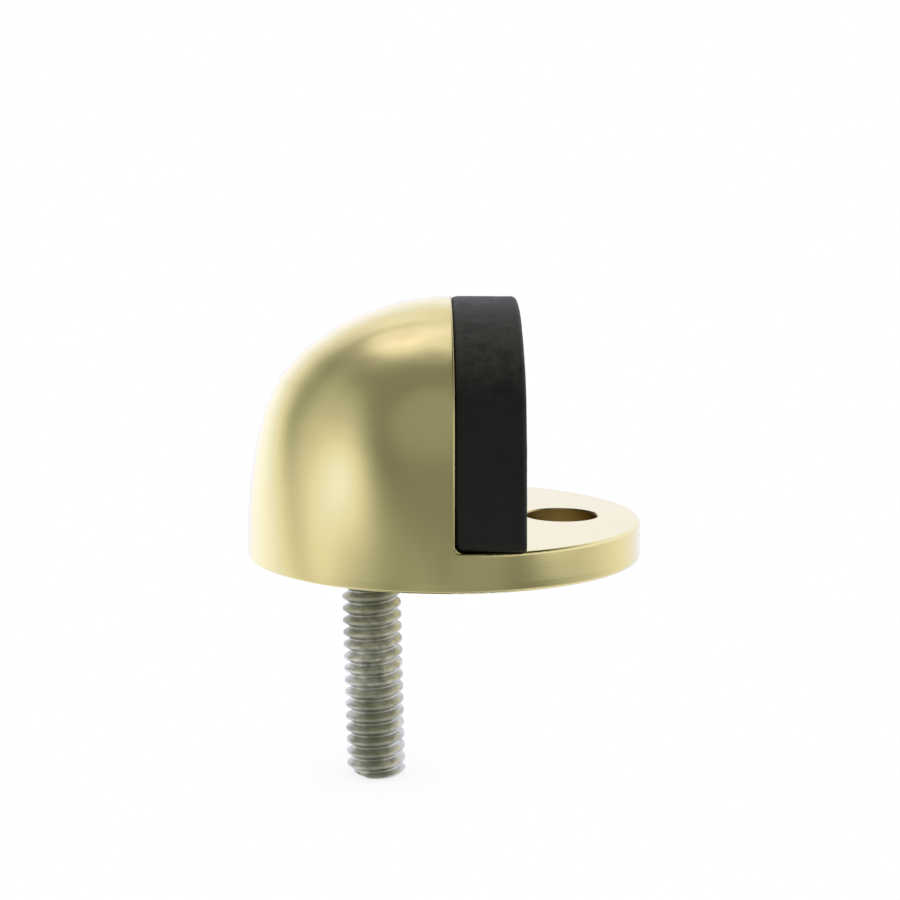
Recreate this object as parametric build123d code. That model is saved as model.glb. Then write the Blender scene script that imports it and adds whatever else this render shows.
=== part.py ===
from build123d import *
import math
import os

# Half-moon floor door stop: a brass hood and foot, a rubber pad held by a screw
# and washer, and a threaded stud below. Millimetres, +Z up, +X towards the door.
# The origin is the centre of the round base, on the floor plane.

inch = 25.4

# ---------------------------------------------------------------------------
# Sizes
# ---------------------------------------------------------------------------
# brass hood and foot
base_r = 20.0
skirt_h = 0.9            # height over which the wall is a plain cylinder
# Slope of the hood's section (degrees, 0 at the upright wall, 90 at the level
# crown) and its radius of curvature there; it changes smoothly in between.
hood_curvature = [
    (0.0, 68.388), (6.0, 52.246), (12.0, 35.111),
    (20.0, 18.884), (30.0, 11.780), (42.0, 12.133),
    (55.0, 21.737), (70.0, 23.612), (90.0, 18.5),
]
hood_spans = 16          # spline spans along the section
face_x = 0.6             # flat vertical face that carries the rubber
foot_t = 3.75            # thickness of the foot in front of the face
rim_round = 0.35         # rounding of the foot's upper rim
base_round = 0.30        # rounding of the lower rim
arch_break = 0.22        # softened edge round the flat face
root_round = 0.75        # hollow corner where the flat face meets the foot

# block that reaches past the front half of the brass
front_len, front_w = 40.0, 60.0
front_cut_h = 40.0
rim_block_h = 60.0

# plain hole through the foot
foot_hole_x = 12.0
foot_hole_r = 3.70
foot_hole_break = 0.15

# rubber pad
pad_t = 6.6              # thickness, back to front
pad_half_w = 19.85       # half width where the hood's section has radius base_r
pad_top = 26.08          # top of the pad's arch
pad_spans = 14           # spline spans up one side
pad_corner_round = 0.9   # where the sides meet the sole
pad_back_round = 0.85
pad_front_round = 0.50
cbore_r = 4.9            # counterbore for the screw head
cbore_floor_x = 2.7
cbore_round = 0.4
pad_hole_r = 2.25
pad_hole_len = 6.0       # length of the cutter for the hole
pad_hole_mid_x = 2.0     # middle of that cutter

# threaded stud, 1/4-20 UNC
stud_x = -7.4
stud_out = 23.5          # length standing out below the base
stud_len = 1.25 * inch
stud_pitch = inch / 20
stud_major_r = 3.13
stud_drill_r = 2.57
stud_drill_depth = 10.9
stud_tap_turns = 9       # counted from just outside the mouth
stud_tap_lead = 0.6      # least distance the tap starts outside the mouth
sink_margin = 0.35       # countersink's radius beyond the thread's

# pad screw, #8-32 UNC x 3/8 in, cross recess pan head
screw_z = 15.6
screw_len = 0.375 * inch
screw_pitch = inch / 32
screw_major_r = 2.06
screw_drill_r = 1.73
screw_drill_depth = 8.1  # drilled depth behind the flat face
screw_tap_turns = 10
screw_tap_lead = 0.2
head_r = 4.0
head_h = 2.7
head_edge_h = 1.25       # straight edge of the head, below its dome
recess_mouth = (4.5, 1.25)   # length and width of one arm of the cross
recess_floor = (1.6, 0.75)
recess_floor_h = 0.75    # height of the recess floor above the head's seat

# washer under the screw head
washer_r = 4.6
washer_hole_r = 2.25
washer_t = 0.8
washer_round = 0.12

# threads
thread_depth = 0.61343   # depth of the outer thread, in pitches
thread_gap = 0.055       # clearance, square to the flanks, in the tapped holes
groove_lead = 0.7        # turns by which a cutting form overruns each length
groove_over = 0.04       # reach of a cutting form beyond the rod
rod_step = 3             # turns made at a time
flank_angle = math.radians(30)
drill_half_angle = math.radians(59)

# places shared by several pieces
front_x = face_x + pad_t
screw_seat_x = cbore_floor_x + washer_t
screw_reach = screw_seat_x - face_x      # from the screw's seat to the flat face
stud_place = Pos(stud_x, 0, 0)
screw_place = Pos(screw_seat_x, 0, screw_z) * Rot(0, -90, 0)   # turns +Z to -X


# ---------------------------------------------------------------------------
# Hood section
# ---------------------------------------------------------------------------
def natural_spline(xs, ys):
    """Natural cubic spline through (xs, ys), returned as a function."""
    n = len(xs) - 1
    step = [xs[i + 1] - xs[i] for i in range(n)]
    slope = [(ys[i + 1] - ys[i]) / step[i] for i in range(n)]
    # tridiagonal system for the second derivatives, zero at both ends
    low, diag, high, rhs = [0.0] * (n + 1), [1.0] * (n + 1), [0.0] * (n + 1), [0.0] * (n + 1)
    for i in range(1, n):
        low[i], high[i] = step[i - 1], step[i]
        diag[i] = 2 * (step[i - 1] + step[i])
        rhs[i] = 6 * (slope[i] - slope[i - 1])
    for i in range(1, n + 1):
        factor = low[i] / diag[i - 1]
        diag[i] -= factor * high[i - 1]
        rhs[i] -= factor * rhs[i - 1]
    bend = [0.0] * (n + 1)
    bend[n] = rhs[n] / diag[n]
    for i in range(n - 1, -1, -1):
        bend[i] = (rhs[i] - high[i] * bend[i + 1]) / diag[i]

    def value(x):
        i = max(j for j in range(n) if x >= xs[j] or j == 0)
        left, right = xs[i + 1] - x, x - xs[i]
        return (
            (bend[i] * left**3 + bend[i + 1] * right**3) / (6 * step[i])
            + (ys[i] / step[i] - bend[i] * step[i] / 6) * left
            + (ys[i + 1] / step[i] - bend[i + 1] * step[i] / 6) * right
        )

    return value


def hood_section(steps=1800):
    """(radius, height) along the hood's section, from the top of the skirt to
    the crown, with the radii scaled to close exactly on the axis."""
    log_curvature = natural_spline(
        [slope for slope, _ in hood_curvature],
        [math.log(curve_r) for _, curve_r in hood_curvature],
    )
    radius, z = base_r, skirt_h
    points = [(radius, z)]
    turn = math.pi / 2 / steps
    for i in range(steps):
        angle = (i + 0.5) * turn
        curve_r = math.exp(log_curvature(math.degrees(angle)))
        radius -= curve_r * math.sin(angle) * turn
        z += curve_r * math.cos(angle) * turn
        points.append((radius, z))
    scale = base_r / (base_r - points[-1][0])
    return [(base_r - (base_r - radius) * scale, z) for radius, z in points]


def pick(points, spans):
    """spans + 1 of the points, evenly spaced along their length."""
    run = [0.0]
    for start, end in zip(points, points[1:]):
        run.append(run[-1] + math.hypot(end[0] - start[0], end[1] - start[1]))
    picked = []
    for k in range(spans + 1):
        want = run[-1] * k / spans
        picked.append(points[min(range(len(run)), key=lambda j: abs(run[j] - want))])
    return picked


hood = hood_section()
hood_top = hood[-1][1]
rim_r = min(hood, key=lambda point: abs(point[1] - foot_t))[0]   # at the foot's top


# ---------------------------------------------------------------------------
# Threads
# ---------------------------------------------------------------------------
def groove_section(major_r, inner_r, outer_r, pitch, gap=0.0):
    """(radius, height) corners of a 60 degree thread's groove, its flanks drawn
    in by gap along the axis."""

    def half(radius):
        return (pitch - pitch / 8) / 2 - (major_r - radius) * math.tan(flank_angle) - gap

    tip_r = outer_r + groove_over
    return [
        (inner_r, -half(inner_r)),
        (tip_r, -half(tip_r)),
        (tip_r, half(tip_r)),
        (inner_r, half(inner_r)),
    ]


def helical_bar(points, pitch, start_z, turns):
    """Right-hand helical bar round +Z. points are (radius, height) in the
    axial plane, heights relative to start_z on the +X side of the axis."""
    lines = [
        Edge.make_helix(pitch=pitch, height=pitch * turns, radius=radius).moved(
            Location((0, 0, start_z + z))
        )
        for radius, z in points
    ]
    n = len(lines)
    walls = [
        Face.make_surface_from_curves(lines[i], lines[(i + 1) % n]) for i in range(n)
    ]
    caps = [
        Face(Wire.make_polygon([line @ end for line in lines], close=True))
        for end in (0, 1)
    ]
    return Solid(Shell(walls + caps))


def grooved_rod(outer_r, groove, pitch, start_z, turns):
    """Rod along +Z from start_z with a helical groove all the way along, cut
    square at both ends. It is made a few whole turns at a time and the lengths
    are joined end to end, so the helix runs on unbroken."""
    lengths = []
    for done in range(0, turns, rod_step):
        n = min(rod_step, turns - done)
        rod = Pos(0, 0, n * pitch / 2) * Cylinder(outer_r, n * pitch)
        bar = helical_bar(groove, pitch, -groove_lead * pitch, n + 2 * groove_lead)
        piece = (rod - bar).solids()[0]
        lengths.append(piece.moved(Location((0, 0, start_z + done * pitch))))
    return lengths[0].fuse(*lengths[1:])


def threaded_rod(major_r, pitch, start_z, turns):
    root_r = major_r - thread_depth * pitch
    groove = groove_section(major_r, root_r, major_r, pitch)
    return grooved_rod(major_r, groove, pitch, start_z, turns)


def tapped_hole(major_r, drill_r, pitch, start_z, turns, drill_end):
    """Cutters for a blind tapped hole up +Z: the threaded length, then the
    plain drilled length with its pointed end."""
    outer_r = major_r + thread_gap
    gap = thread_gap / math.cos(flank_angle)
    groove = groove_section(major_r, drill_r, outer_r, pitch, gap)
    tap = grooved_rod(outer_r, groove, pitch, start_z, turns)
    tap_end = start_z + turns * pitch
    tip_h = drill_r / math.tan(drill_half_angle)
    drill = Pos(0, 0, (tap_end + drill_end) / 2) * Cylinder(drill_r, drill_end - tap_end)
    drill += Pos(0, 0, drill_end + tip_h / 2) * Cone(drill_r, 0, tip_h)
    return tap, drill


# ---------------------------------------------------------------------------
# Brass hood and foot
# ---------------------------------------------------------------------------
def revolved(edges):
    """Revolve a closed (radius, height) outline round Z."""
    return revolve(Plane.XZ * make_face(edges), axis=Axis.Z)


def front_block(height, mid_z):
    """Block in front of the plane of the flat face."""
    return Pos(face_x + front_len / 2, 0, mid_z) * Box(front_len, front_w, height)


def rounded_corner(radius, z, size, top):
    """Quarter round, convex outwards, at the outer corner (radius, z) of a
    section's top or bottom."""
    inward = -1 if top else 1
    ease = size * (1 - math.sin(math.pi / 4))
    arc = [
        (radius - size, z),
        (radius - ease, z + inward * ease),
        (radius, z + inward * size),
    ]
    return ThreePointArc(*(reversed(arc) if top else arc))


def make_blank():
    """The full round dome, before the front is cut away."""
    section = Curve() + [
        Line((0, 0), (base_r - base_round, 0)),
        rounded_corner(base_r, 0, base_round, top=False),
        Line((base_r, base_round), (base_r, skirt_h)),
        Spline(pick(hood, hood_spans), tangents=[(0, 1), (-1, 0)]),
        Line((0, hood_top), (0, 0)),
    ]
    return revolved(section.edges())


def make_rim_cutter():
    """Front part of a ring that rounds the foot's upper rim."""
    inner_r, outer_r = rim_r - rim_round, rim_r + 0.6
    low_z, high_z = foot_t - rim_round, foot_t + 0.5
    corners = [
        (inner_r, foot_t), (inner_r, high_z), (outer_r, high_z), (outer_r, low_z), (rim_r, low_z),
    ]
    outline = Curve() + [
        *[Line(start, end) for start, end in zip(corners, corners[1:])],
        rounded_corner(rim_r, foot_t, rim_round, top=True),
    ]
    return revolved(outline.edges()) & front_block(rim_block_h, 0)


def make_foot_hole():
    """Plain hole through the foot, edges just broken."""
    wide_r = foot_hole_r + foot_hole_break
    hole = Pos(foot_hole_x, 0, foot_t / 2) * Cylinder(foot_hole_r, foot_t + 2)
    hole += Pos(foot_hole_x, 0, foot_t - foot_hole_break / 2) * Cone(
        foot_hole_r, wide_r, foot_hole_break
    )
    hole += Pos(foot_hole_x, 0, foot_hole_break / 2) * Cone(
        wide_r, foot_hole_r, foot_hole_break
    )
    return hole


def make_dome_body():
    dome = make_blank() - front_block(front_cut_h, foot_t + front_cut_h / 2)

    # softened edge round the flat face
    arch_edges = [
        e
        for e in dome.edges()
        if abs(e.bounding_box().min.X - face_x) < 1e-4
        and abs(e.bounding_box().max.X - face_x) < 1e-4
        and e.center().Z > foot_t + 0.01
    ]
    dome = fillet(arch_edges, arch_break)

    # hollow corner between the flat face and the foot
    root_edges = [
        e
        for e in dome.edges()
        if abs(e.center().X - face_x) < 1e-3
        and abs(e.center().Z - foot_t) < 1e-3
        and e.length > base_r
    ]
    dome = fillet(root_edges, root_round)

    dome = dome - make_rim_cutter()
    dome = dome - make_foot_hole()

    # tapped hole for the stud, with a small countersink at its mouth; both taps
    # start a whole number of pitches from their rod's end, to match its thread
    sink_r = stud_major_r + sink_margin
    sink_h = sink_r - stud_drill_r
    sink = Pos(0, 0, sink_h / 2) * Cone(sink_r, stud_drill_r, sink_h)
    pitches_out = math.floor((stud_out - stud_tap_lead) / stud_pitch)
    stud_cutters = tapped_hole(
        stud_major_r,
        stud_drill_r,
        stud_pitch,
        -stud_out + stud_pitch * pitches_out,
        stud_tap_turns,
        stud_drill_depth,
    )
    for cutter in (sink, *stud_cutters):
        dome = dome - stud_place * cutter

    # tapped hole for the pad screw
    screw_cutters = tapped_hole(
        screw_major_r,
        screw_drill_r,
        screw_pitch,
        screw_pitch * math.floor((screw_reach - screw_tap_lead) / screw_pitch),
        screw_tap_turns,
        screw_reach + screw_drill_depth,
    )
    for cutter in screw_cutters:
        dome = dome - screw_place * cutter
    return dome


# ---------------------------------------------------------------------------
# Rubber pad: arch section carried straight forward
# ---------------------------------------------------------------------------
def make_rubber_buffer():
    # the hood's section above the foot, scaled to the pad's width and height
    across = pad_half_w / base_r
    upward = (pad_top - foot_t) / (hood_top - foot_t)
    side = [(rim_r * across, foot_t)] + [
        (radius * across, foot_t + (z - foot_t) * upward) for radius, z in hood if z > foot_t
    ]
    half = pick(side, pad_spans)
    half[-1] = (0.0, pad_top)
    sole_half_w = half[0][0]
    slope = (half[1][0] - half[0][0], half[1][1] - half[0][1])
    outline = Curve() + [
        Line((-sole_half_w, foot_t), half[0]),
        Spline(
            half + [(-y, z) for y, z in reversed(half[:-1])],
            tangents=[slope, (slope[0], -slope[1])],
        ),
    ]
    pad = Pos(face_x, 0, 0) * extrude(Plane.YZ * make_face(outline.edges()), amount=pad_t)

    # soft corners where the sides meet the sole
    corners = [
        e
        for e in pad.edges()
        if abs(abs(e.center().Y) - sole_half_w) < 0.02
        and abs(e.center().Z - foot_t) < 1e-4
        and abs(e.length - pad_t) < 1e-3
    ]
    pad = fillet(corners, pad_corner_round)
    back = [e for e in pad.edges() if abs(e.bounding_box().max.X - face_x) < 1e-4]
    pad = fillet(back, pad_back_round)
    front = [e for e in pad.edges() if abs(e.bounding_box().min.X - front_x) < 1e-4]
    pad = fillet(front, pad_front_round)

    # counterbore, cut from just in front of the pad, and the screw's hole
    cut_x = front_x + 1
    cbore = Pos((cut_x + cbore_floor_x) / 2, 0, screw_z) * Rot(0, 90, 0) * Cylinder(
        cbore_r, cut_x - cbore_floor_x
    )
    through = Pos(pad_hole_mid_x, 0, screw_z) * Rot(0, 90, 0) * Cylinder(
        pad_hole_r, pad_hole_len
    )
    pad = pad - cbore - through
    mouth = [
        e
        for e in pad.edges()
        if e.geom_type == GeomType.CIRCLE
        and abs(e.center().X - front_x) < 1e-4
        and abs(e.radius - cbore_r) < 1e-3
    ]
    return fillet(mouth, cbore_round)


# ---------------------------------------------------------------------------
# Washer, screw and stud
# ---------------------------------------------------------------------------
def make_buffer_washer():
    washer = Cylinder(washer_r, washer_t) - Cylinder(washer_hole_r, washer_t + 1)
    outer = [
        e
        for e in washer.edges()
        if e.geom_type == GeomType.CIRCLE and abs(e.radius - washer_r) < 1e-6
    ]
    washer = fillet(outer, washer_round)
    return Pos(cbore_floor_x + washer_t / 2, 0, screw_z) * Rot(0, 90, 0) * washer


def recess_arm(turn):
    """Tapered cutter for one arm of the cross recess."""
    return loft(
        [
            Pos(0, 0, -head_h - 0.05) * Rot(0, 0, turn) * Rectangle(*recess_mouth),
            Pos(0, 0, -recess_floor_h) * Rot(0, 0, turn) * Rectangle(*recess_floor),
        ]
    )


def make_buffer_screw():
    """Built with its shank up +Z and its head below z = 0, then laid along -X."""
    dome_h = head_h - head_edge_h
    dome_r = (head_r**2 + dome_h**2) / (2 * dome_h)
    mid_r = head_r * 0.55    # any point part way along the domed arc
    profile = Polyline(
        (0, 0), (head_r, 0), (head_r, -head_edge_h)
    ) + ThreePointArc(
        (head_r, -head_edge_h),
        (mid_r, -head_h + dome_r - math.sqrt(dome_r**2 - mid_r**2)),
        (0, -head_h),
    ) + Line((0, -head_h), (0, 0))
    head = revolved(profile.edges())
    recess = recess_arm(0) + recess_arm(90)

    # the first pitch under the head is plain
    neck = Pos(0, 0, screw_pitch / 2) * Cylinder(screw_major_r, screw_pitch)
    turns = round(screw_len / screw_pitch) - 1
    thread = threaded_rod(screw_major_r, screw_pitch, screw_pitch, turns)
    return screw_place * (head - recess + neck + thread)


def make_mounting_stud():
    turns = round(stud_len / stud_pitch)
    return stud_place * threaded_rod(stud_major_r, stud_pitch, -stud_out, turns)


# ---------------------------------------------------------------------------
# Export
# ---------------------------------------------------------------------------
os.makedirs("parts", exist_ok=True)
pieces = {
    "dome_body": make_dome_body(),
    "rubber_buffer": make_rubber_buffer(),
    "buffer_washer": make_buffer_washer(),
    "buffer_screw": make_buffer_screw(),
    "mounting_stud": make_mounting_stud(),
}
for name, piece in pieces.items():
    solids = piece.solids()
    # a piece of one solid is written as that bare solid
    export_step(solids[0] if len(solids) == 1 else piece, f"parts/{name}.step")
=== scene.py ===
"""Door stop: a satin brass dome body on a flanged foot, with an arched rubber
pad on its +X face held by a screw and washer, and a threaded stud below.

Z is up and the foot stands on z = 0. The pad's back lies against the brass and
its front faces +X; its arch is drawn in the YZ plane. The camera looks along +Y.
"""

import math

import bmesh
import bpy
from mathutils import Matrix, Vector, noise


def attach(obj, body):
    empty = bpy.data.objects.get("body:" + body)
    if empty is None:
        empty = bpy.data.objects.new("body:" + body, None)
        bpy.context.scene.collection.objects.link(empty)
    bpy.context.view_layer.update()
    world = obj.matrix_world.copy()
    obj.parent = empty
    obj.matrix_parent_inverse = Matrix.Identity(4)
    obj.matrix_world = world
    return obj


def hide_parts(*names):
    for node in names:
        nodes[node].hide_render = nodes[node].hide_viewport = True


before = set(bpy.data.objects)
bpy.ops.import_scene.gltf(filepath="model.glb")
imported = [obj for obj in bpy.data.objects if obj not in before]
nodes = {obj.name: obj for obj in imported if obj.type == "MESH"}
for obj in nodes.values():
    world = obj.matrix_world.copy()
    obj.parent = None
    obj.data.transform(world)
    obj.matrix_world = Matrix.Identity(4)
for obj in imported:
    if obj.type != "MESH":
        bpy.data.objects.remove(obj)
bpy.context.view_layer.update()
scene = bpy.context.scene
MM = 0.001  # shapes are worked out in millimetres, materials in metres


# ---------------------------------------------------------------------------
# shader node helpers
# ---------------------------------------------------------------------------
class Tree:
    """The shader nodes of one material or world."""

    def __init__(self, owner):
        owner.use_nodes = True
        self.nodes, self.links = owner.node_tree.nodes, owner.node_tree.links
        self.nodes.clear()

    def fill(self, node, inputs):
        """Links or sets inputs, given as {socket name or index: value}."""
        for key, value in inputs.items():
            socket = node.inputs[key]
            if isinstance(value, bpy.types.NodeSocket):
                self.links.new(value, socket)
            elif socket.type == "RGBA":
                socket.default_value = (*value, 1.0)
            else:
                socket.default_value = value

    def node(self, kind, inputs, **props):
        node = self.nodes.new(kind)
        for key, value in props.items():
            setattr(node, key, value)
        self.fill(node, inputs)
        return node

    def make(self, kind, inputs, output=0, **props):
        """Adds a node and gives back one of its outputs."""
        return self.node(kind, inputs, **props).outputs[output]

    def math(self, operation, *values):
        return self.make("ShaderNodeMath", dict(enumerate(values)), operation=operation)

    def fold(self, operation, first, *rest):
        for value in rest:
            first = self.math(operation, first, value)
        return first

    def plus(self, *values):
        return self.fold("ADD", *values)

    def times(self, *values):
        return self.fold("MULTIPLY", *values)

    def square_sum(self, x, y):
        return self.plus(self.times(x, x), self.times(y, y))

    def fade(self, value):
        """e to the power of minus value."""
        return self.math("EXPONENT", self.times(value, -1.0))

    def split(self, vector):
        return self.node("ShaderNodeSeparateXYZ", {0: vector}).outputs

    def scaled(self, vector, scale, offset=(0.0, 0.0, 0.0)):
        inputs = {"Vector": vector, "Location": offset, "Scale": scale}
        return self.make("ShaderNodeMapping", inputs)

    def noise(self, vector, detail, rough, scale=1.0, distortion=0.0):
        inputs = {"Vector": vector, "Scale": scale, "Detail": detail}
        inputs.update({"Roughness": rough, "Distortion": distortion})
        return self.make("ShaderNodeTexNoise", inputs, "Fac")

    def ramp(self, value, span, out=(0.0, 1.0), kind="SMOOTHSTEP"):
        """Carries value from the range span to the range out."""
        inputs = dict(enumerate((value, *span, *out)))
        return self.make("ShaderNodeMapRange", inputs, interpolation_type=kind)

    def mix(self, amount, base, over):
        inputs = {0: amount, 6: base, 7: over}
        return self.make("ShaderNodeMix", inputs, 2, data_type="RGBA")

    def openness(self, distance, samples=16):
        """Ambient occlusion: 1 in the open, 0 in a closed corner."""
        inputs = {"Distance": distance}
        return self.make("ShaderNodeAmbientOcclusion", inputs, "AO", samples=samples)

    def surface_normal(self):
        return self.make("ShaderNodeNewGeometry", {}, "Normal")

    def bump(self, height, strength, distance, normal=None):
        inputs = {"Strength": strength, "Distance": distance, "Height": height}
        if normal is not None:
            inputs["Normal"] = normal
        return self.make("ShaderNodeBump", inputs, "Normal")


def material(name):
    mat = bpy.data.materials.new(name)
    tree = Tree(mat)
    output = tree.node("ShaderNodeOutputMaterial", {})
    shader = tree.node("ShaderNodeBsdfPrincipled", {})
    tree.fill(output, {0: shader.outputs[0]})
    return mat, tree, shader, tree.make("ShaderNodeTexCoord", {}, "Object")


# ---------------------------------------------------------------------------
# brass (lengths in metres)
# ---------------------------------------------------------------------------
FOOT_HOLE_X = 0.012
SEAM_FROM_Z = 0.0040
# turned rounds at the foot's top and bottom: radius and height where the round
# starts, +1 rising or -1 falling, and the x beyond which it is shaded
FOOT_ROUNDS = (
    (0.019587, 0.00340, 1.0, 0.00062),
    (0.0197, 0.00030, -1.0, -1.0),
)
FOOT_TOP_LIMIT = 0.003752  # the upper round is shaded only below this
ROUND_MARGIN = 0.00006  # and each starts this far inside its radius


def brass_painted_shade(tree, place, cloud):
    """Painted shade: darker brass on the foot hole wall, along the edge that meets the rubber,
    and in corners.
    """
    x, y, z = tree.split(place)
    hole_x = tree.math("SUBTRACT", x, FOOT_HOLE_X)
    hole_radius = tree.math("SQRT", tree.square_sum(hole_x, y))
    hole = tree.times(
        tree.ramp(hole_radius, span=(0.00374, 0.00386), out=(1.0, 0.0)),
        tree.ramp(cloud, span=(0.25, 0.75), out=(0.8, 1.0)),
    )
    seam = tree.times(
        tree.ramp(x, span=(0.00034, 0.00052), out=(0.0, 0.60)),
        tree.math("LESS_THAN", x, 0.00064),
        tree.math("GREATER_THAN", z, SEAM_FROM_Z),
    )
    corners = tree.openness(distance=0.0025, samples=10)
    corners = tree.ramp(corners, span=(0.10, 0.50), out=(0.7, 0.0))
    return tree.fold("MAXIMUM", hole, seam, corners)


def turned_normal(tree, place):
    """Surface normal, with the small rounds of the foot shaded as true rounds."""
    x, y, z = tree.split(place)
    radius = tree.math("SQRT", tree.square_sum(x, y))
    normal = tree.surface_normal()
    for centre, start_z, side, x_from in FOOT_ROUNDS:
        out = tree.math("MAXIMUM", tree.math("SUBTRACT", radius, centre), 0.0)
        rise = tree.math("SUBTRACT", z, start_z)
        out_x = tree.times(tree.math("DIVIDE", x, radius), out)
        out_y = tree.times(tree.math("DIVIDE", y, radius), out)
        turned = tree.make(
            "ShaderNodeVectorTransform",
            {0: tree.make("ShaderNodeCombineXYZ", {0: out_x, 1: out_y, 2: rise})},
            vector_type="NORMAL",
            convert_from="OBJECT",
            convert_to="WORLD",
        )
        unit = tree.make("ShaderNodeVectorMath", {0: turned}, operation="NORMALIZE")
        mask = tree.times(
            tree.ramp(tree.times(rise, side), span=(0.0, 0.00004)),
            tree.math("GREATER_THAN", radius, centre - ROUND_MARGIN),
            tree.math("GREATER_THAN", x, x_from),
        )
        if side > 0:
            mask = tree.times(mask, tree.math("LESS_THAN", z, FOOT_TOP_LIMIT))
        inputs = {0: mask, 4: normal, 5: unit}
        normal = tree.make("ShaderNodeMix", inputs, 1, data_type="VECTOR")
    return normal


def brass():
    mat, tree, shader, place = material("satin_brass")
    cloud = tree.noise(place, scale=85.0, detail=3.0, rough=0.5)
    fine = tree.noise(place, scale=1500.0, detail=3.0, rough=0.6)
    # hairlines left by polishing round the axis, broken up along their length
    hair = tree.scaled(place, scale=(260.0, 260.0, 5200.0))
    hair = tree.noise(hair, detail=3.0, rough=0.6, distortion=0.4)
    marks = tree.scaled(place, scale=(900.0, 900.0, 700.0), offset=(3.0, 7.0, 1.0))
    marks = tree.noise(marks, detail=1.0, rough=0.4)

    tone = tree.ramp(cloud, span=(0.32, 0.68))
    base = tree.mix(tone, base=(0.915, 0.825, 0.395), over=(0.94, 0.845, 0.415))
    marked = tree.ramp(marks, span=(0.76, 0.84), out=(0.0, 0.12))
    base = tree.mix(marked, base, over=(0.70, 0.62, 0.40))
    painted_shade = brass_painted_shade(tree, place, cloud)
    # painted shade: dark brown in the hole, at the seam with the rubber and in corners
    base = tree.mix(painted_shade, base, over=(0.46, 0.345, 0.135))
    rough = tree.plus(
        tree.ramp(cloud, span=(0.28, 0.72), out=(0.095, 0.125)),
        tree.times(painted_shade, 0.22),  # rougher where the shade is painted
        tree.ramp(fine, span=(0.3, 0.7), out=(-0.012, 0.012)),
        tree.ramp(hair, span=(0.35, 0.65), out=(-0.01, 0.02)),
        tree.ramp(marks, span=(0.76, 0.84), out=(0.0, 0.05)),
    )
    normal = turned_normal(tree, place)
    normal = tree.bump(cloud, strength=0.05, distance=0.0002, normal=normal)
    normal = tree.bump(hair, strength=0.05, distance=0.00001, normal=normal)
    normal = tree.bump(fine, strength=0.05, distance=0.000012, normal=normal)
    looks = {"Metallic": 1.0, "Base Color": base, "Roughness": rough, "Normal": normal}
    tree.fill(shader, looks)
    return mat


# ---------------------------------------------------------------------------
# rubber and zinc
# ---------------------------------------------------------------------------
def rubber():
    mat, tree, shader, place = material("moulded_rubber")
    mottle = tree.noise(place, scale=1000.0, detail=4.0, rough=0.6)
    broad = tree.noise(place, scale=130.0, detail=3.0, rough=0.5)
    streak = tree.scaled(place, scale=(150.0, 260.0, 1300.0))
    streak = tree.noise(streak, detail=3.0, rough=0.55)

    tone = tree.ramp(mottle, span=(0.32, 0.70))
    base = tree.mix(tone, base=(0.0060, 0.0061, 0.0066), over=(0.0140, 0.0140, 0.0144))
    pale = tree.ramp(broad, span=(0.45, 0.72), out=(0.0, 0.4))
    base = tree.mix(pale, base, over=(0.017, 0.0168, 0.017))
    # painted sheen: the crown, where the arch faces up, is painted lighter
    upward = tree.split(tree.surface_normal())[2]
    painted_sheen = tree.times(
        tree.ramp(upward, span=(0.45, 1.0)),
        tree.ramp(mottle, span=(0.35, 0.65), out=(0.35, 1.0)),
    )
    base = tree.mix(painted_sheen, base, over=(0.066, 0.070, 0.054))
    rough = tree.plus(
        tree.ramp(mottle, span=(0.3, 0.7), out=(0.46, 0.60)),
        tree.ramp(streak, span=(0.4, 0.7), out=(0.0, 0.08)),
    )
    height = tree.plus(mottle, tree.times(streak, 0.25))  # streaks are shallower
    looks = {
        "Metallic": 0.0,
        "Base Color": base,
        "Roughness": rough,
        "Specular IOR Level": 0.40,
        "Specular Tint": (1.0, 0.99, 0.90),
        "Normal": tree.bump(height, strength=0.85, distance=0.00010),
    }
    tree.fill(shader, looks)
    return mat


def zinc(name, dark, light):
    """Zinc plating: pale spangle, dulled and a little yellowed where it wears."""
    mat, tree, shader, place = material(name)
    spangle = tree.noise(place, scale=700.0, detail=4.0, rough=0.62)
    patch = tree.noise(place, scale=190.0, detail=3.0, rough=0.55)
    drag = tree.scaled(place, scale=(500.0, 500.0, 2600.0))
    drag = tree.noise(drag, detail=3.0, rough=0.6, distortion=0.3)

    base = tree.mix(tree.ramp(spangle, span=(0.33, 0.67)), dark, light)
    worn = tree.ramp(patch, span=(0.46, 0.66), out=(0.0, 0.55))
    base = tree.mix(worn, base, over=(0.40, 0.42, 0.315))
    dragged = tree.ramp(drag, span=(0.55, 0.75), out=(0.0, 0.35))
    base = tree.mix(dragged, base, over=(0.80, 0.80, 0.79))
    # painted shade: a stud is darker just under the base, which shades it
    z = tree.split(place)[2]
    shade_under_base = tree.times(
        tree.ramp(z, span=(-0.013, -0.002), out=(0.0, 0.42)),
        tree.math("LESS_THAN", z, 0.0005),
    )
    base = tree.mix(shade_under_base, base, over=(0.30, 0.31, 0.225))
    # painted shade down in the grooves and recesses
    groove_shade = tree.openness(distance=0.0014, samples=8)
    groove_shade = tree.ramp(groove_shade, span=(0.15, 0.62), out=(0.80, 0.0))
    base = tree.mix(groove_shade, base, over=(0.19, 0.20, 0.135))
    rough = tree.plus(
        tree.ramp(spangle, span=(0.3, 0.7), out=(0.25, 0.38)),
        tree.ramp(patch, span=(0.45, 0.65), out=(0.0, 0.08)),
    )
    normal = tree.bump(spangle, strength=0.28, distance=0.00004)
    normal = tree.bump(drag, strength=0.35, distance=0.00004, normal=normal)
    looks = {"Metallic": 1.0, "Base Color": base, "Roughness": rough, "Normal": normal}
    tree.fill(shader, looks)
    return mat


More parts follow.
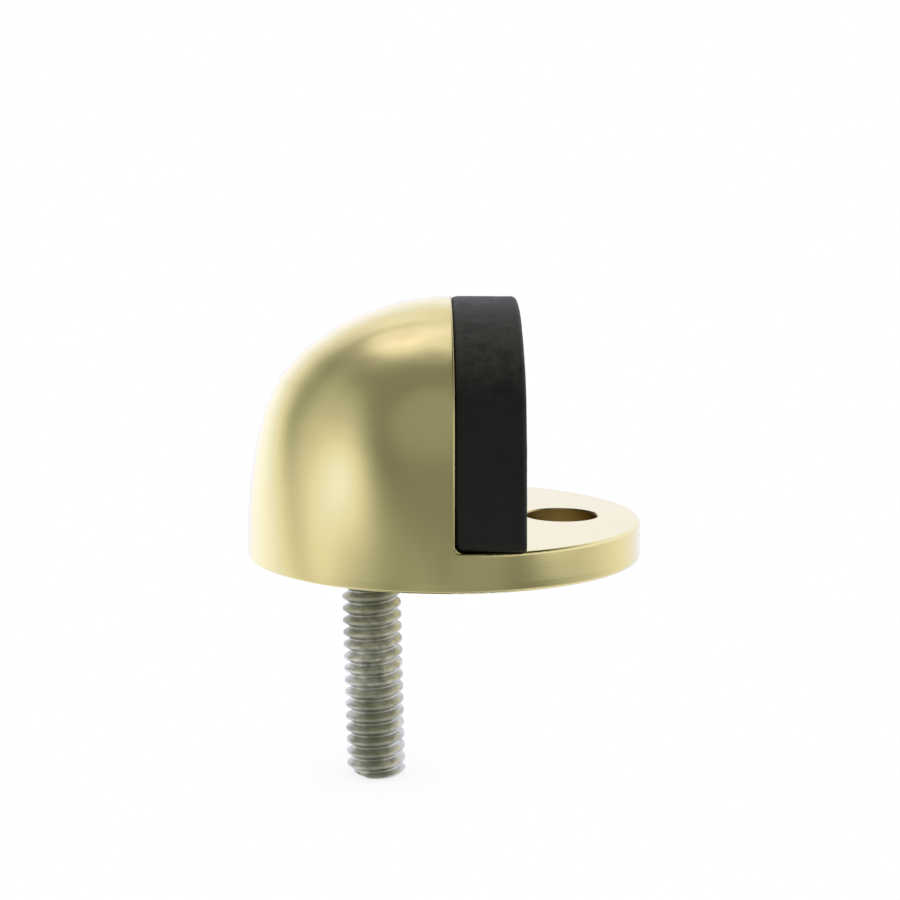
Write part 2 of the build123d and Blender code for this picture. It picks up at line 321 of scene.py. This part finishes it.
BRASS = brass()
RUBBER = rubber()
STUD_ZINC = zinc("stud_zinc", dark=(0.50, 0.515, 0.44), light=(0.82, 0.825, 0.74))
WASHER_ZINC = zinc("washer_zinc", dark=(0.60, 0.605, 0.585), light=(0.74, 0.745, 0.73))
SCREW_ZINC = zinc("screw_zinc", dark=(0.58, 0.585, 0.565), light=(0.74, 0.745, 0.73))
for piece_name, piece_material in (
    ("dome_body", BRASS),
    ("rubber_buffer", RUBBER),
    ("buffer_washer", WASHER_ZINC),
    ("buffer_screw", SCREW_ZINC),
    ("mounting_stud", STUD_ZINC),
):
    slots = nodes[piece_name].data.materials
    slots.clear()
    slots.append(piece_material)


# ---------------------------------------------------------------------------
# mesh helpers (points in millimetres)
# ---------------------------------------------------------------------------
def mesh_object(name, points, faces):
    mesh = bpy.data.meshes.new(name)
    mesh.from_pydata([tuple(c * MM for c in point) for point in points], [], faces)
    mesh.update()
    obj = bpy.data.objects.new(name, mesh)
    scene.collection.objects.link(obj)
    return obj


def skin(name, rings, mat, start=None, end=None, loop=False):
    """Joins rings, each a closed list of points, into one smooth closed skin.
    start and end are points that close the two ends; loop joins last to first."""
    size, count = len(rings[0]), len(rings)
    points = [point for ring in rings for point in ring]
    faces = []
    for i in range(count if loop else count - 1):
        a, b = i * size, ((i + 1) % count) * size
        for j in range(size):
            k = (j + 1) % size
            faces.append((a + j, a + k, b + k, b + j))
    for tip, base, flip in ((start, 0, True), (end, (count - 1) * size, False)):
        if tip is None:
            continue
        centre = len(points)
        points.append(tip)
        for j in range(size):
            edge = (base + j, base + (j + 1) % size)
            faces.append((*(edge[::-1] if flip else edge), centre))
    obj = mesh_object(name, points, faces)
    obj.data.materials.append(mat)
    for face in obj.data.polygons:
        face.use_smooth = True
    # faces must look outwards
    work = bmesh.new()
    work.from_mesh(obj.data)
    bmesh.ops.recalc_face_normals(work, faces=work.faces)
    work.to_mesh(obj.data)
    work.free()
    return obj


def register(obj, replaced):
    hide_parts(replaced)
    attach(obj, "root")


# ---------------------------------------------------------------------------
# threaded stud, rolled 1/4-20 thread, seated slightly out of square
# ---------------------------------------------------------------------------
STUD_X, STUD_OUT, STUD_LEN = -7.4, 23.5, 31.75  # STUD_OUT hangs below z = 0
STUD_BOTTOM, STUD_TOP = -STUD_OUT, STUD_LEN - STUD_OUT
STUD_OFFSET, STUD_LEAN = -0.17, 0.0267  # x at z = 0, and x gained per mm down
STRAIGHTENED_BY = 1.2  # height in the body at which the stud is central
PITCH, CREST_RADIUS = 1.27, 3.05
THREAD_DEPTH = 0.69  # the rolled crest is not quite filled
ROOT_HALF = 0.1058  # half the flat at the bottom of the groove
FLANK_SLOPE = math.sqrt(3.0)  # 60 degree thread
FLANK_SOFTNESS = 0.10
THREAD_SHIFT = 0.95
SEAM_DEPTH, SEAM_HALF = 0.045, 0.05
NICK_LEVEL, NICK_DEPTH, NICK_HALF = 0.36, 0.22, 0.22
STUD_COLUMNS, STUD_STEP = 128, 0.05
END_FACE_STEPS = (0.97, 0.9, 0.78, 0.62, 0.45, 0.28, 0.12)  # shares of the radius
END_UNEVEN = 0.035


def soft_clamp(value, low, high, softness):
    """value held between low and high, with corners of radius about softness."""
    over = value - low
    over = 0.5 * (over + math.sqrt(over * over + softness * softness)) + low
    under = high - over
    return high - 0.5 * (under + math.sqrt(under * under + softness * softness))


def stud_radius(theta, z):
    turns = (z - THREAD_SHIFT) / PITCH - theta / (2 * math.pi)
    from_groove = abs(turns - math.floor(turns) - 0.5) * PITCH
    from_crest = PITCH / 2 - from_groove
    flank = (from_groove - ROOT_HALF) * FLANK_SLOPE
    radius = CREST_RADIUS - THREAD_DEPTH
    radius += soft_clamp(flank, 0.0, THREAD_DEPTH, FLANK_SOFTNESS)
    # the seam a rolling die leaves along the crest
    radius -= SEAM_DEPTH * math.exp(-((from_crest / SEAM_HALF) ** 2))
    point = Vector((CREST_RADIUS * math.cos(theta), CREST_RADIUS * math.sin(theta), z))
    radius += 0.014 * noise.noise(point * 1.1) + 0.010 * noise.noise(point * 3.7)
    nick = noise.noise(point * 1.7 + Vector((11.0, 4.0, 2.0)))
    if nick > NICK_LEVEL and from_crest < NICK_HALF:
        radius -= NICK_DEPTH * (nick - NICK_LEVEL)
    # broken ends; the cut has bitten into the lowest turn on its -X side
    ragged = Vector((2.0 * math.cos(theta), 2.0 * math.sin(theta), 5.0))
    ragged = 0.05 * noise.noise(ragged)
    bite = max(0.0, -math.cos(theta + 0.35)) ** 0.8
    low_end = 2.62 - 1.0 * bite + ragged + (z - STUD_BOTTOM) * (1.05 + 2.1 * bite)
    high_end = 2.60 + (STUD_TOP - z) * 1.2
    return min(radius, low_end, high_end)


def stud_axis(z):
    """x of the stud's middle: central in the body, leaning below it."""
    if z >= 0.0:
        return STUD_X + STUD_OFFSET * max(0.0, 1.0 - z / STRAIGHTENED_BY)
    return STUD_X + STUD_OFFSET - STUD_LEAN * z


def stud_ring(z):
    ring = []
    for j in range(STUD_COLUMNS):
        theta = 2 * math.pi * j / STUD_COLUMNS
        radius = stud_radius(theta, z)
        ring.append((stud_axis(z) + radius * math.cos(theta), radius * math.sin(theta), z))
    return ring


def end_rings(ring, z, seed):
    """Sheared end face, drawn in to the middle with a little unevenness."""
    middle = stud_axis(z)
    out = []
    for share in END_FACE_STEPS:
        face = []
        for x, y, _ in ring:
            dx, dy = (x - middle) * share, y * share
            lift = END_UNEVEN * noise.noise(Vector((dx, dy, seed)) * 0.9)
            face.append((middle + dx, dy, z + lift))
        out.append(face)
    return out


def build_stud():
    heights = [STUD_BOTTOM + i * STUD_STEP for i in range(int(STUD_LEN / STUD_STEP))]
    rings = [stud_ring(z) for z in heights + [STUD_TOP]]
    low = end_rings(rings[0], STUD_BOTTOM, seed=3.0)
    high = end_rings(rings[-1], STUD_TOP, seed=9.0)
    start = (stud_axis(STUD_BOTTOM), 0.0, STUD_BOTTOM)
    end = (stud_axis(STUD_TOP), 0.0, STUD_TOP)
    return skin("stud_thread", low[::-1] + rings + high, STUD_ZINC, start, end)


register(build_stud(), "mounting_stud")

# ---------------------------------------------------------------------------
# rubber pad: moulded arch with soft edges, counterbored for its screw
# ---------------------------------------------------------------------------
FOOT_TOP = 3.75
SOLE = FOOT_TOP + 0.02
PAD_THICK, PAD_HALF_WIDTH, PAD_TOP = 6.6, 19.85, 26.08
BACK_X = 0.6
FRONT_X = BACK_X + PAD_THICK
BACK_ROUND, FRONT_ROUND, CORNER, MOUTH_ROUND = 0.85, 0.55, 0.9, 0.3
# how much of an edge round is used at the sole and up the arch, and the height
# over which one becomes the other
BACK_SHARES = dict(foot=1.0, arch=0.4, reach=4.5)
FRONT_SHARES = dict(foot=0.15, arch=1.0, reach=1.6)
SCREW_Z, CBORE_RADIUS, CBORE_FLOOR, HOLE_RADIUS = 15.6, 4.9, 2.7, 2.25
HOOD_RADIUS, HOOD_START_Z, HOOD_STEPS = 20.0, 0.9, 900
# radius of curvature of the arch against its slope, as on the brass hood
SLOPE_DEG = (0.0, 6.0, 12.0, 20.0, 30.0, 42.0, 55.0, 70.0, 90.0)
SLOPE_RADIUS = (68.388, 52.246, 35.111, 18.884, 11.780, 12.133, 21.737, 23.612, 18.5)
OUTLINE_POINTS = 640


def natural_spline(xs, ys):
    """Natural cubic spline through the points, as a function of x."""
    last = len(xs) - 1
    gap = [b - a for a, b in zip(xs, xs[1:])]
    slope = [(b - a) / g for a, b, g in zip(ys, ys[1:], gap)]
    bend = [0.0] * (last + 1)  # second derivatives, zero at both ends
    diagonal, right_side = [1.0] * last, [0.0] * last
    for i in range(1, last):
        factor = gap[i - 1] / diagonal[i - 1] if i > 1 else 0.0
        diagonal[i] = 2 * (gap[i - 1] + gap[i]) - factor * gap[i - 1]
        right_side[i] = 6 * (slope[i] - slope[i - 1]) - factor * right_side[i - 1]
    for i in range(last - 1, 0, -1):
        bend[i] = (right_side[i] - gap[i] * bend[i + 1]) / diagonal[i]

    def at(x):
        i = max(j for j in range(last) if x >= xs[j])
        a, b, g = xs[i + 1] - x, x - xs[i], gap[i]
        return (
            (bend[i] * a**3 + bend[i + 1] * b**3) / (6 * g)
            + (ys[i] / g - bend[i] * g / 6) * a
            + (ys[i + 1] / g - bend[i + 1] * g / 6) * b
        )

    return at


def hood_line():
    """(radius, z) up the brass hood, scaled in radius to meet the axis."""
    log_radius = natural_spline(SLOPE_DEG, [math.log(v) for v in SLOPE_RADIUS])
    step = math.pi / 2 / HOOD_STEPS
    radius, z = HOOD_RADIUS, HOOD_START_Z
    line = [(radius, z)]
    for i in range(HOOD_STEPS):
        slope = (i + 0.5) * step
        bend = math.exp(log_radius(math.degrees(slope)))
        radius -= bend * math.sin(slope) * step
        z += bend * math.cos(slope) * step
        line.append((radius, z))
    stretch = HOOD_RADIUS / (HOOD_RADIUS - radius)
    return [(HOOD_RADIUS - (HOOD_RADIUS - r) * stretch, z) for r, z in line]


def quarter(steps):
    """(sine, cosine) from 0 to 90 degrees."""
    angles = [math.radians(90 * k / steps) for k in range(steps + 1)]
    return [(math.sin(a), math.cos(a)) for a in angles]


def pad_line():
    """Closed (y, z) outline, from the middle of the sole by +Y over the top."""
    hood = hood_line()
    widen = PAD_HALF_WIDTH / HOOD_RADIUS
    heighten = (PAD_TOP - FOOT_TOP) / (hood[-1][1] - FOOT_TOP)
    side = [(r * widen, FOOT_TOP + (z - FOOT_TOP) * heighten) for r, z in hood]
    side = [point for point in side if point[1] > FOOT_TOP + CORNER]
    corner_y, corner_z = side[0][0] - CORNER, SOLE + CORNER
    arc = [(corner_y + CORNER * s, corner_z - CORNER * c) for s, c in quarter(12)]
    half = [(corner_y * k / 60, SOLE) for k in range(60)] + arc + side
    half[-1] = (0.0, half[-1][1])
    return half + [(-y, z) for y, z in reversed(half[1:-1])]


def resample(points, count):
    """The closed line through points, at count even spacings."""
    closed = points + [points[0]]
    run = [0.0]
    for (a, b), (c, d) in zip(closed, closed[1:]):
        run.append(run[-1] + math.hypot(c - a, d - b))
    out, k = [], 0
    for i in range(count):
        want = run[-1] * i / count
        while run[k + 1] < want:
            k += 1
        part = (want - run[k]) / max(run[k + 1] - run[k], 1e-12)
        (a, b), (c, d) = closed[k], closed[k + 1]
        out.append((a + (c - a) * part, b + (d - b) * part))
    return out


outline = resample(pad_line(), OUTLINE_POINTS)
inward = []
for i in range(OUTLINE_POINTS):
    (y0, z0), (y1, z1) = outline[i - 2], outline[(i + 2) % OUTLINE_POINTS]
    span = math.hypot(y1 - y0, z1 - z0)
    inward.append(((z0 - z1) / span, (y1 - y0) / span))


def pad_ring(x, inset, foot, arch, reach):
    """Outline drawn in by inset, times foot at the sole and arch above reach."""
    ring = []
    for (y, z), (in_y, in_z) in zip(outline, inward):
        share = foot + (arch - foot) * min(1.0, max(0.0, (z - SOLE) / reach))
        ring.append((x, y + in_y * inset * share, z + in_z * inset * share))
    return ring


def circle_ring(x, radius):
    """Circle about the screw, its points facing those of the outline."""
    angles = [math.atan2(z - SCREW_Z, y) for y, z in outline]
    return [(x, radius * math.cos(a), SCREW_Z + radius * math.sin(a)) for a in angles]


def blend(first, second, part):
    return [tuple(p + (q - p) * part for p, q in zip(u, v)) for u, v in zip(first, second)]


def uneven(ring):
    """Moulding unevenness: a slow waviness and a fine grain, kept off the
    back face, the sole and the screw's seat."""
    out = []
    for x, y, z in ring:
        point = Vector((x, y, z))
        away = math.hypot(y, z - SCREW_Z)
        keep = min(1.0, max(0.0, (x - BACK_X - 0.25) / 0.5))
        keep *= min(1.0, max(0.0, (z - SOLE - 0.05) / 0.5))
        keep *= min(1.0, max(0.0, (away - CBORE_RADIUS - 0.1) / 0.6))
        outward = 0.030 * noise.noise(point * 0.22) + 0.012 * noise.noise(point * 1.3)
        outward += 0.008 * noise.noise(point * 3.1)
        forward = 0.030 * noise.noise(point * 0.19 + Vector((5.0, 1.0, 8.0)))
        forward += 0.012 * noise.noise(point * 1.2 + Vector((1.0, 6.0, 3.0)))
        push = keep * outward / (away or 1.0)
        out.append((x + keep * forward, y + push * y, z + push * (z - SCREW_Z)))
    return out


def build_pad():
    # back face, from the hole out
    back_edge = pad_ring(BACK_X, BACK_ROUND, **BACK_SHARES)
    back_hole = circle_ring(BACK_X, HOLE_RADIUS)
    rings = [blend(back_hole, back_edge, k / 16) for k in range(16)]
    # back round, side wall, front round
    for s, c in quarter(8):
        rings.append(pad_ring(BACK_X + BACK_ROUND * (1 - c), BACK_ROUND * (1 - s), **BACK_SHARES))
    wall = PAD_THICK - BACK_ROUND - FRONT_ROUND
    for k in range(1, 30):
        rings.append(pad_ring(BACK_X + BACK_ROUND + wall * k / 30, 0.0, **FRONT_SHARES))
    for s, c in quarter(8):
        x = FRONT_X - FRONT_ROUND * (1 - s)
        rings.append(pad_ring(x, FRONT_ROUND * (1 - c), **FRONT_SHARES))
    # front face, in to the rounded mouth of the counterbore
    front_edge = rings[-1]
    front_hole = circle_ring(FRONT_X, CBORE_RADIUS + MOUTH_ROUND)
    rings += [blend(front_edge, front_hole, k / 45) for k in range(1, 45)]
    mouth_x = FRONT_X - MOUTH_ROUND
    for s, c in quarter(6):
        rings.append(circle_ring(mouth_x + MOUTH_ROUND * c, CBORE_RADIUS + MOUTH_ROUND * (1 - s)))
    # counterbore wall and floor, then the screw hole to the back
    for k in range(1, 13):
        rings.append(circle_ring(mouth_x + (CBORE_FLOOR - mouth_x) * k / 12, CBORE_RADIUS))
    for k in range(1, 7):
        radius = CBORE_RADIUS + (HOLE_RADIUS - CBORE_RADIUS) * k / 6
        rings.append(circle_ring(CBORE_FLOOR, radius))
    for k in range(1, 6):
        rings.append(circle_ring(CBORE_FLOOR + (BACK_X - CBORE_FLOOR) * k / 6, HOLE_RADIUS))
    return skin("rubber_pad", [uneven(ring) for ring in rings], RUBBER, loop=True)


register(build_pad(), "rubber_buffer")

# ---------------------------------------------------------------------------
# floor: glowing white, shaded only close to the stud
# ---------------------------------------------------------------------------
FLOOR_Z = STUD_BOTTOM - 0.25
FLOOR_HALF = 1500.0


def build_floor():
    signs = ((-1, -1), (1, -1), (1, 1), (-1, 1))
    corners = [(i * FLOOR_HALF, j * FLOOR_HALF, FLOOR_Z) for i, j in signs]
    floor = mesh_object("floor", corners, [(0, 1, 2, 3)])
    mat = bpy.data.materials.new("pale_floor")
    tree = Tree(mat)
    openness = tree.openness(distance=0.016)
    glow = tree.ramp(openness, span=(0.0, 1.0), out=(0.86, 1.0), kind="LINEAR")
    emission = tree.make("ShaderNodeEmission", {"Color": (1.0, 1.0, 1.0), "Strength": glow})
    tree.node("ShaderNodeOutputMaterial", {0: emission})
    floor.data.materials.append(mat)
    floor.visible_glossy = False
    floor.visible_diffuse = False
    floor.visible_shadow = False


build_floor()

# ---------------------------------------------------------------------------
# light: a dim surround and soft boxes, bright behind and to the left, dark
# behind the camera and below. Each row is azimuth, elevation, half width, half
# height and turn in degrees, then crispness of the edge and strength; azimuth
# 0 is behind the camera and -90 is to the left. Negative strengths are flags.
# ---------------------------------------------------------------------------
SURROUND, DARKEST = 0.226, 0.05
BOX_LOWEST = -16.0  # boxes carry on unchanged below this elevation
BOXES = [
    (163.5, 7.2, 127.2, 39.6, -6.3, 2.72, 0.970),
    (-160.1, 56.1, 33.1, 18.0, -17.8, 1.62, 0.826),
    (-80.1, 17.9, 25.7, 35.1, 52.3, 2.01, 0.603),
    (-119.9, 37.7, 20.0, 16.3, 28.1, 0.99, 0.512),
    (-75.8, 22.1, 13.6, 93.1, 56.0, 1.11, 0.421),
    (-96.1, 19.9, 76.2, 27.3, -30.0, 1.85, -0.849),
    (161.6, -10.1, 129.7, 59.9, -37.7, 5.00, -0.217),
    (-60.7, -8.8, 28.9, 24.2, -48.1, 1.52, 0.593),
    (-15.3, 42.6, 24.9, 26.9, -105.8, 2.56, 0.075),
    (-163.8, 48.7, 16.3, 4.1, -19.9, 1.16, -0.281),
    (-145.0, 55.9, 6.9, 20.9, -62.6, 1.15, 0.294),
    (-146.0, 68.2, 31.6, 9.4, 17.1, 0.60, 0.378),
    (-103.1, -42.5, 16.4, 94.5, -129.4, 1.85, 0.140),
    (88.0, -8.0, 52.0, 14.0, 0.0, 3.00, -0.090),
    (20.0, -10.0, 18.0, 8.0, 0.0, 2.00, 0.060),
    (61.5, -8.3, 13.0, 1.3, 0.0, 1.00, 0.620),
    (-128.0, 65.0, 24.0, 9.0, 0.0, 1.00, 0.130),
    (-153.0, 58.0, 12.0, 6.5, 0.0, 1.00, -0.085),
]
# azimuth, elevation, half width and half height of a warmer patch, in degrees
WARM_PATCH = (-155.0, 61.0, 38.0, 17.0)


def azimuth_from(tree, azimuth, centre):
    return tree.math("WRAP", tree.math("SUBTRACT", azimuth, centre), 180.0, -180.0)


def box_light(tree, azimuth, elevation, box):
    centre, height, half_width, half_height, turn, edge, strength = box
    across = azimuth_from(tree, azimuth, centre)
    rise = tree.math("SUBTRACT", tree.math("MAXIMUM", elevation, BOX_LOWEST), height)
    c, s = math.cos(math.radians(turn)), math.sin(math.radians(turn))
    u = tree.plus(tree.times(across, c / half_width), tree.times(rise, s / half_width))
    v = tree.plus(tree.times(across, -s / half_height), tree.times(rise, c / half_height))
    away = tree.math("MAXIMUM", tree.square_sum(u, v), 1e-6)
    return tree.times(tree.fade(tree.math("POWER", away, edge)), strength)


def brightness(tree, azimuth, azimuth_deg, elevation):
    total = SURROUND
    for box in BOXES:
        total = tree.plus(total, box_light(tree, azimuth_deg, elevation, box))
    total = tree.math("MAXIMUM", total, DARKEST)
    # the table below the horizon, in the stop's own shade straight underneath
    table = tree.math("MULTIPLY_ADD", tree.math("COSINE", azimuth), -0.22, 0.72)
    low = tree.ramp(elevation, span=(-34.0, -17.0), out=(1.0, 0.0))
    total = tree.times(total, tree.math("SUBTRACT", 1.0, low))
    total = tree.plus(total, tree.times(table, low))
    under = tree.ramp(elevation, span=(-74.0, -58.0), out=(1.0, 0.0))
    total = tree.times(total, tree.math("SUBTRACT", 1.0, under))
    return tree.plus(total, tree.times(under, 0.10))


def build_world():
    world = bpy.data.worlds.new("studio")
    scene.world = world
    tree = Tree(world)
    x, y, z = tree.split(tree.make("ShaderNodeTexCoord", {}, "Generated"))
    azimuth = tree.math("ARCTAN2", x, tree.times(y, -1.0))
    azimuth_deg = tree.times(azimuth, 180.0 / math.pi)
    elevation = tree.times(tree.math("ARCSINE", z), 180.0 / math.pi)
    total = brightness(tree, azimuth, azimuth_deg, elevation)

    # bright parts are bluer, the patch and the half-lit parts warmer
    bright = tree.ramp(total, span=(0.35, 1.05))
    tint = tree.mix(bright, base=(1.0, 1.02, 0.97), over=(0.932, 0.944, 1.16))
    centre, height, half_width, half_height = WARM_PATCH
    across = tree.math("DIVIDE", azimuth_from(tree, azimuth_deg, centre), half_width)
    rise = tree.math("DIVIDE", tree.math("SUBTRACT", elevation, height), half_height)
    warm = tree.fade(tree.square_sum(across, rise))
    tint = tree.mix(warm, tint, over=(0.98, 0.885, 1.01))
    half_lit = tree.times(
        tree.ramp(total, span=(0.42, 0.58)),
        tree.ramp(total, span=(0.78, 0.95), out=(1.0, 0.0)),
    )
    tint = tree.mix(half_lit, tint, over=(1.02, 0.985, 1.015))
    lift = tree.ramp(total, span=(0.85, 1.10), out=(1.0, 1.05))
    lift = tree.math("MULTIPLY_ADD", half_lit, 0.035, lift)

    # the camera itself sees plain white
    seen = tree.make("ShaderNodeLightPath", {}, "Is Camera Ray")
    studio = tree.make("ShaderNodeBackground", {0: tint, 1: tree.times(total, lift)})
    white = tree.make("ShaderNodeBackground", {0: (1.0, 1.0, 1.0), 1: 1.0})
    pick = tree.make("ShaderNodeMixShader", {0: seen, 1: studio, 2: white})
    tree.node("ShaderNodeOutputWorld", {0: pick})


build_world()

# ---------------------------------------------------------------------------
# camera: azimuth from -Y, elevation and roll in degrees, the rest in mm
# ---------------------------------------------------------------------------
AZIMUTH, ELEVATION, ROLL = (math.radians(v) for v in (-1.394, 8.485, 0.316))
DISTANCE = 180.0
TARGET = Vector((0.562, 0.0, 10.435))
SENSOR_WIDTH, LENS = 36.0, 70.66


def build_camera():
    level = math.cos(ELEVATION)
    back = Vector(
        (math.sin(AZIMUTH) * level, -math.cos(AZIMUTH) * level, math.sin(ELEVATION))
    )
    flat_right = Vector((math.cos(AZIMUTH), math.sin(AZIMUTH), 0.0))
    flat_up = back.cross(flat_right)
    right = flat_right * math.cos(ROLL) + flat_up * math.sin(ROLL)
    up = -flat_right * math.sin(ROLL) + flat_up * math.cos(ROLL)
    data = bpy.data.cameras.new("camera")
    data.sensor_width = SENSOR_WIDTH
    data.lens = LENS
    data.clip_start, data.clip_end = 0.001, 10.0
    camera = bpy.data.objects.new("camera", data)
    scene.collection.objects.link(camera)
    place = TARGET * MM + back * DISTANCE * MM
    rows = [(*row, 0.0) for row in (right, up, back)] + [(*place, 1.0)]
    camera.matrix_world = Matrix(rows).transposed()
    scene.camera = camera


build_camera()

scene.view_settings.view_transform = "Standard"
scene.view_settings.look = "None"
scene.view_settings.exposure = 0.0
scene.view_settings.gamma = 1.0
